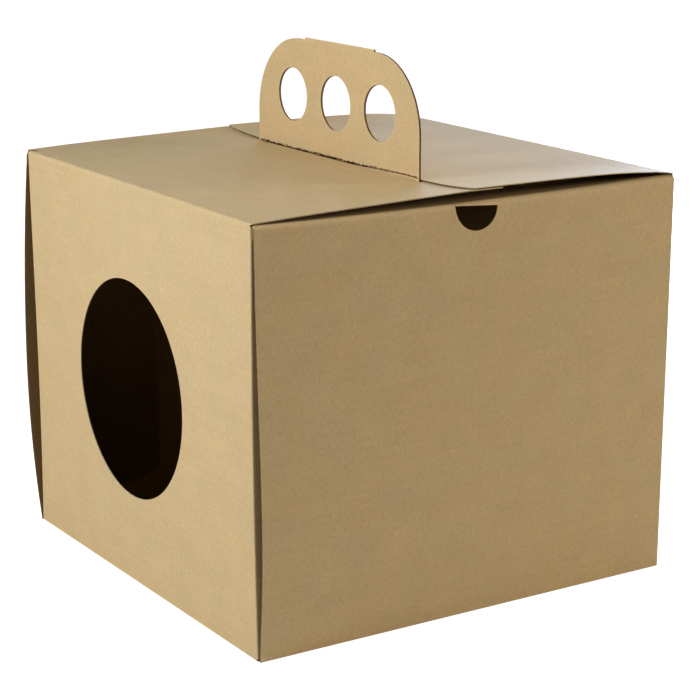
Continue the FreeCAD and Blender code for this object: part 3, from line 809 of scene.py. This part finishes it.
def makeSleeve(s):
    creases, length = findCreases(s["corners"], s["radii"])
    front, back = (sleeveSide(s, creases, length, k) for k in (0, 1))
    outline = roundedLoop([(u, -v, *radius) for u, v, *radius in front] + back[::-1])
    slits = slitLoops(slitSet, s["gripEnds"], creases["Grip Front"][1])
    folds = [(start, end) for start, end, _ in creases.values()]
    dust = [(end, end + s["dustFold"] * math.pi / 2) for end in s["wallEnds"]]
    linesA = gridLines(0, length, s["step"], folds)
    dustLines = [dust[1], (-dust[0][1], -dust[0][0])]
    linesB = gridLines(-s["dustTip"], s["dustTip"], s["step"], dustLines)
    loops = [outline, *sleeveHoles(s, creases), *slits]
    points, faces, loops = cutBlank(loops, linesA, linesB)

    u, v = points[:, 0], points[:, 1]
    ear, onWall, tucked = sleeveMasks(s, u, v, creases)
    flat = np.column_stack([-u, v, 0 * u])
    places = np.column_stack([-u, v, -springLift(s, u, v, creases, ear)])
    settle = wallSettle(s, u, v, creases)
    toCrease = distanceToFolds(u, folds)
    toDustFold = np.minimum(distanceToFolds(-v, dust[:1]), distanceToFolds(v, dust[1:]))
    toCrease = np.where(onWall, np.minimum(toCrease, toDustFold), toCrease)
    sheet = newSheet("carton_sheet", places, flat, settle, faces, (0, 0, -1), points[:, ::-1], {
        "onGrip": ("BOOLEAN", ~ear),
        "tucked": ("BOOLEAN", tucked),
        "creaseDistance": ("FLOAT", toCrease * mm),
        "edgeDistance": ("FLOAT", distanceTo(points, loops) * mm),
        "edgePaintedLight": ("FLOAT", paintedEdgeLight(edgeLightSet, u, v, creases, ear)),
    })

    steps = [
        (label, direction, "tucked", sum(dust[k]) / 2, s["dustFold"], math.pi / 2)
        for k, label, direction in ((1, "Back Dust", (0, 1, 0)), (0, "Front Dust", (0, -1, 0)))
    ]
    for i in reversed(range(len(foldNames))):
        start, end, angle = creases[foldNames[i]]
        selection = "onGrip" if i > 1 else None  # the ears go on past the grip's foot
        middle = (start + end) / 2
        steps.append((foldNames[i], (-1, 0, 0), selection, middle, s["radii"][i], angle))
    foldSheet(sheet, "foldSleeve", steps, (0, 0, 1), (s["corners"][0][0], 0, s["corners"][0][1]))
    finishSheet(sheet, s)
    return sheet


sleeve = makeSleeve(sleeveSet)


# the two end panels with their tuck flaps

frontSet = {
    "name": "front_panel_board", "backwards": False, "board": 0.48, "outside": 0.25,
    "ends": (-115.2, 116.2), "halfWidth": 116, "hingeY": 115.75, "foot": 0.1,
    "lean": (-0.7, 1.5),  # how the left and right edges stray sideways at the top
    "foldRise": (1.0, -0.3, 1.4),  # the top fold's rise at its left, middle and right
    "bow": {
        "height": 198.0, "depth": 3.25, "rising": 1.4, "falling": 3.2, "peak": 0.0592,
        "topPull": 0.2, "fade": 1.5,  # peak is the curve's own highest value
    },
    "foldTop": 198.4, "foldRadius": 2.6, "stepIn": (3.0, 4.4),
    "tuckLength": 24.0, "tuckDroop": 5.0, "tuckInset": 3.0, "tuckCorner": 14.0,
    "notchRadius": 11.6, "notchDrop": 1.75, "notchShift": 0.5, "notchTilt": -0.9,
    "rightPaintedLight": 0.5, "mapShift": (0, 400), "step": 4.0,
}
backSet = {
    **frontSet, "name": "back_panel_board", "backwards": True,
    "ends": (-116.0, 116.0), "lean": (0, 0), "foldRise": (0, 0, 0),
    "bow": {"height": 198.0, "depth": 12.5, "widest": 88.0, "rising": 2.1, "drawnBack": 10.9},
    "notchShift": 0.0, "notchTilt": 0.0,
}


def frontBow(s, x, z):
    # the free left edge curls out most a third of the way up, the right edge stands straight
    bow, half = s["bow"], s["halfWidth"]
    t = np.clip(z / bow["height"], 0, 1)
    curl = bow["depth"] * t ** bow["rising"] * (1 - t) ** bow["falling"] / bow["peak"]
    return (curl - bow["topPull"] * t) * np.clip((half - x) / (2 * half), 0, 1) ** bow["fade"]


def backBow(s, x, z):
    # the panel bellies out the same all along x, and its top fold stays a little proud
    bow, widest = s["bow"], s["bow"]["widest"]
    low = bow["depth"] * (1 - np.clip(1 - z / widest, 0, 1) ** bow["rising"])
    share = np.clip((z - widest) / (bow["height"] - widest), 0, 1)
    return np.where(z < widest, low, bow["depth"] - bow["drawnBack"] * share ** 2)


def panelLoops(s, start, end):
    # the outline with its tuck flap, and the half-round thumb notch
    left, right = s["ends"]
    tuckLeft, tuckRight = left + s["tuckInset"], right - s["tuckInset"]
    low, high = (start + rise for rise in s["stepIn"])
    tip, corner = end + s["tuckLength"], s["tuckCorner"]
    outline = roundedLoop([
        (left, s["foot"]), (right, s["foot"]), (right, low), (tuckRight, high),
        (tuckRight, tip, corner), (tuckLeft, tip, corner), (tuckLeft, high), (left, low),
    ])
    straight = s["foldTop"] - s["notchDrop"]
    notch, pieces = [], 40
    for k in range(pieces + 1):
        cos, sin = math.cos(k * math.pi / pieces), math.sin(k * math.pi / pieces)
        across = s["notchShift"] + s["notchRadius"] * cos
        notch.append((across, straight + s["notchTilt"] * cos - s["notchRadius"] * sin))
    return [outline, notch]


def panelSettle(s, x, z, start):
    # the panel's edges lean a little, and its top fold isn't quite level
    up, across = np.clip(z / start, 0, 1), x / s["halfWidth"]
    toLeft, toRight = np.clip(-across, 0, 1), np.clip(across, 0, 1)
    low, middle, high = s["foldRise"]
    rise = middle + (high - low) / 2 * across + ((high + low) / 2 - middle) * across ** 2
    lean = s["lean"][0] * up ** 3 * toLeft + s["lean"][1] * up * toRight
    return np.column_stack([lean, 0 * x, rise * up])


def makeEndPanel(s, bow):
    radius, (left, right) = s["foldRadius"], s["ends"]
    start = s["foldTop"] - s["board"] / 2 - radius
    angle = math.radians(90 + s["tuckDroop"])
    end = start + radius * angle
    linesA = gridLines(left, right, s["step"], [])
    linesB = gridLines(s["foot"], end + s["tuckLength"], s["step"], [(start, end)])
    points, faces, loops = cutBlank(panelLoops(s, start, end), linesA, linesB)

    x, z = points[:, 0], points[:, 1]
    flat = np.column_stack([x, 0 * x, z])
    places = np.column_stack([x, -bow(s, x, np.minimum(z, start)), z])
    settle = panelSettle(s, x, z, start)
    onRight = (x > right - 2) & (z < start)  # painted light: the cut edge there is painted pale as it catches the light; the panel's other cut edges are painted in shade
    panel = newSheet(s["name"], places, flat, settle, faces, (0, -1, 0), points + s["mapShift"], {
        "creaseDistance": ("FLOAT", distanceToFolds(z, [(start, end)]) * mm),
        "edgeDistance": ("FLOAT", distanceTo(points, loops) * mm),
        "edgePaintedLight": ("FLOAT", np.where(onRight, s["rightPaintedLight"], 0.0)),
    })
    foldSheet(panel, s["name"].replace("_panel_board", "PanelFold"), [
        ("Top Fold", (0, 0, 1), None, (start + end) / 2, radius, angle),
    ], (0, 1, 0), (0, -s["hingeY"], 0))
    finishSheet(panel, s)
    if s["backwards"]:
        panel.data.transform(Matrix.Rotation(math.pi, 4, "Z"))
    return panel


frontPanel = makeEndPanel(frontSet, frontBow)
backPanel = makeEndPanel(backSet, backBow)


# torn fibres that stand out of the slit crease, closest together behind its middle

fibreSet = {
    "start": -69.5, "end": 76.5, "middle": 40.0, "gather": 0.60,  # along the crease
    "out": -0.62, "height": 201.45, "spread": 0.35,
    "count": 70, "length": 1.3, "thickness": 0.32, "seed": 7,
    "light": (0.95, 0.78, 0.40), "dark": (0.66, 0.45, 0.18), "specular": 0.12,
}


def makeFibreMaterial(s):
    material, tree, shader = newMaterial("tornFibre")
    place = addNode(tree, "ShaderNodeTexCoord").outputs["Object"]
    grain = noise(tree, place, 700.0)[0]
    colour = mixColour(tree, remap(tree, grain, 0.35, 0.62), s["dark"], s["light"])
    tree.links.new(colour, shader.inputs["Base Color"])
    tree.links.new(remap(tree, grain, 0.0, 1.0, 0.7, 0.9), shader.inputs["Roughness"])
    shader.inputs["Specular IOR Level"].default_value = s["specular"]
    return material


def makeFibreTree(material):
    tree, source, sink = newGroup("tornFibres", "GeometryNodeTree", [
        ("Geometry", "NodeSocketGeometry", None),
        ("Start", "NodeSocketFloat", 0.0), ("End", "NodeSocketFloat", 1.0),
        ("Middle", "NodeSocketFloat", 0.5), ("Gather", "NodeSocketFloat", 0.0),
        ("Out", "NodeSocketFloat", 0.0), ("Height", "NodeSocketFloat", 0.0),
        ("Spread", "NodeSocketFloat", 0.001), ("Count", "NodeSocketInt", 10),
        ("Length", "NodeSocketFloat", 0.001), ("Thickness", "NodeSocketFloat", 0.0002),
        ("Seed", "NodeSocketInt", 0),
    ], [("Geometry", "NodeSocketGeometry")])
    value = source.outputs

    def dice(low, high, offset, kind="FLOAT"):
        # offset keeps one draw apart from the next
        first, output = (0, 0) if kind == "FLOAT_VECTOR" else (2, 1)
        seed = calc(tree, "ADD", value["Seed"], float(offset))
        node = addNode(tree, "FunctionNodeRandomValue", {
            first: low, first + 1: high, "Seed": seed,
        }, data_type=kind)
        return node.outputs[output]

    # each fibre's place: pulled in towards the middle from either end
    points = addNode(tree, "GeometryNodePoints", {"Count": value["Count"]}).outputs[0]
    share = dice(-1.0, 1.0, 1)
    loose = calc(tree, "MULTIPLY", value["Gather"], calc(tree, "ABSOLUTE", share))
    pull = calc(tree, "ADD", calc(tree, "SUBTRACT", 1.0, value["Gather"]), loose)
    behind = addNode(tree, "FunctionNodeCompare", {0: share, 1: 0.0}, operation="GREATER_THAN")
    reach = addNode(tree, "GeometryNodeSwitch", {
        "Switch": behind.outputs[0],
        "False": calc(tree, "SUBTRACT", value["Middle"], value["Start"]),
        "True": calc(tree, "SUBTRACT", value["End"], value["Middle"]),
    }, input_type="FLOAT").outputs[0]
    along = calc(tree, "MULTIPLY_ADD", calc(tree, "MULTIPLY", share, pull), reach, value["Middle"])
    up = calc(tree, "MULTIPLY_ADD", dice(-1.0, 1.0, 2), value["Spread"], value["Height"])
    spread = addNode(tree, "GeometryNodeSetPosition", {
        "Geometry": points, "Position": joined(tree, value["Out"], along, up),
    }).outputs[0]

    # its shape: a thin cone, leaning out over the top panel
    fibre = addNode(tree, "GeometryNodeMeshCone", {
        "Vertices": 5, "Radius Top": 0.25, "Radius Bottom": 0.5, "Depth": 1.0,
    }).outputs[0]
    lean = dice((-1.3, -2.3, -3.1), (1.3, -0.9, 3.1), 3, "FLOAT_VECTOR")
    turn = addNode(tree, "FunctionNodeEulerToRotation", {0: lean}).outputs[0]
    size = joined(tree, value["Thickness"], value["Thickness"], value["Length"])
    placed = addNode(tree, "GeometryNodeInstanceOnPoints", {
        "Points": spread, "Instance": fibre, "Rotation": turn,
        "Scale": scaled(tree, size, dice(0.35, 1.15, 4)),
    }).outputs[0]
    realized = addNode(tree, "GeometryNodeRealizeInstances", {"Geometry": placed}).outputs[0]
    painted = addNode(tree, "GeometryNodeSetMaterial", {"Geometry": realized, "Material": material})
    tree.links.new(painted.outputs[0], sink.inputs[0])
    return tree


def makeFibres(s):
    material = makeFibreMaterial(s)
    mesh = bpy.data.meshes.new("crease_fibres")
    mesh.materials.append(material)
    fibres = addObject("crease_fibres", mesh)
    modifier = fibres.modifiers.new("tornFibres", "NODES")
    modifier.node_group = makeFibreTree(material)
    sockets = inputSockets(modifier.node_group)
    for label in ("start", "end", "middle", "out", "height", "spread", "length", "thickness"):
        modifier[sockets[label.capitalize()]] = s[label] * mm
    for label in ("gather", "count", "seed"):
        modifier[sockets[label.capitalize()]] = s[label]
    leavePlain(fibres)
    return fibres


fibres = makeFibres(fibreSet)


for piece, body, node in (
    (sleeve, "carton", "carton_body"),
    (frontPanel, "front_panel", "front_end_panel"),
    (backPanel, "back_panel", "back_end_panel"),
):
    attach(piece, body)
    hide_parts(node)
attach(fibres, "carton")
print("pieces hung on their bodies")


# floor, light and background

lightSet = {
    "world": 0.16,
    "aim": (0, 0, 0.12),
    "lamps": [  # name, place, width, height, power, colour
        ("windowSide", (-1.40, 0.00, 0.35), 0.50, 0.50, 7.7, (1.0, 0.88, 0.77)),
        ("windowLow", (-1.25, 0.50, 0.22), 0.50, 0.50, 2.2, (1.0, 0.83, 0.66)),
        ("windowNear", (-0.50, -0.05, 0.40), 0.12, 0.12, 1.12, (0.58, 0.75, 1.0)),
        ("overhead", (-0.05, -0.10, 0.50), 0.20, 0.20, 0.36, (1.0, 0.88, 0.76)),
        ("rearSheen", (0.95, 0.72, 0.34), 0.25, 0.20, 6.9, (0.60, 0.76, 1.0)),
        ("rearSheenWide", (0.75, 0.95, 0.42), 0.30, 0.20, 2.0, (0.66, 0.80, 1.0)),
        ("rightLow", (1.60, -0.90, 0.45), 0.60, 0.50, 21.8, (1.0, 0.86, 0.71)),
    ],
}
floorSet = {"reach": 4.0, "height": -0.0002, "glow": 0.95, "grain": 40.0, "tone": (0.78, 0.80)}
white = (1, 1, 1, 1)


def seenDirectly(tree):
    # 1 for rays from the camera, and for those that gloss or glass sends on
    path = addNode(tree, "ShaderNodeLightPath").outputs
    through = calc(tree, "MAXIMUM", path["Is Glossy Ray"], path["Is Transmission Ray"])
    return calc(tree, "MAXIMUM", path["Is Camera Ray"], through)


def makeWorld(strength):
    world = bpy.data.worlds.new("studio")
    world.use_nodes = True
    tree = world.node_tree
    tree.nodes.clear()
    ambient, plain = (
        addNode(tree, "ShaderNodeBackground", {"Color": white, "Strength": level}).outputs[0]
        for level in (strength, 1.0)
    )
    inputs = {0: seenDirectly(tree), 1: ambient, 2: plain}
    mixed = addNode(tree, "ShaderNodeMixShader", inputs).outputs[0]
    addNode(tree, "ShaderNodeOutputWorld", {"Surface": mixed})
    scene.world = world


def makeFloorMaterial(s):
    # white where it is seen directly, with the carton's soft shadow on it
    material, tree, _ = newMaterial("paleFloor")
    tree.nodes.clear()
    place = addNode(tree, "ShaderNodeTexCoord").outputs["Object"]
    tone = remap(tree, noise(tree, place, s["grain"])[0], 0.0, 1.0, *s["tone"])
    paint = addNode(tree, "ShaderNodeBsdfDiffuse", {"Color": tone}).outputs[0]
    glow = addNode(tree, "ShaderNodeEmission", {"Color": white, "Strength": s["glow"]}).outputs[0]
    lit = addNode(tree, "ShaderNodeAddShader", {0: paint, 1: glow}).outputs[0]
    inputs = {0: seenDirectly(tree), 1: paint, 2: lit}
    mixed = addNode(tree, "ShaderNodeMixShader", inputs).outputs[0]
    addNode(tree, "ShaderNodeOutputMaterial", {"Surface": mixed})
    return material


def makeFloor(s):
    mesh = bpy.data.meshes.new("floor")
    corners = [(-1, -1), (1, -1), (1, 1), (-1, 1)]
    places = [(x * s["reach"], y * s["reach"], s["height"]) for x, y in corners]
    mesh.from_pydata(places, [], [(0, 1, 2, 3)])
    mesh.materials.append(makeFloorMaterial(s))
    floor = addObject("floor", mesh)


def makeLamps(lamps, target):
    for name, place, width, height, power, colour in lamps:
        data = bpy.data.lights.new(name, "AREA")
        data.shape = "RECTANGLE"
        data.size, data.size_y, data.energy, data.color = width, height, power, colour
        aimAt(addObject(name, data), place, target)


makeWorld(lightSet["world"])
makeFloor(floorSet)
makeLamps(lightSet["lamps"], lightSet["aim"])
print("floor and lights set")
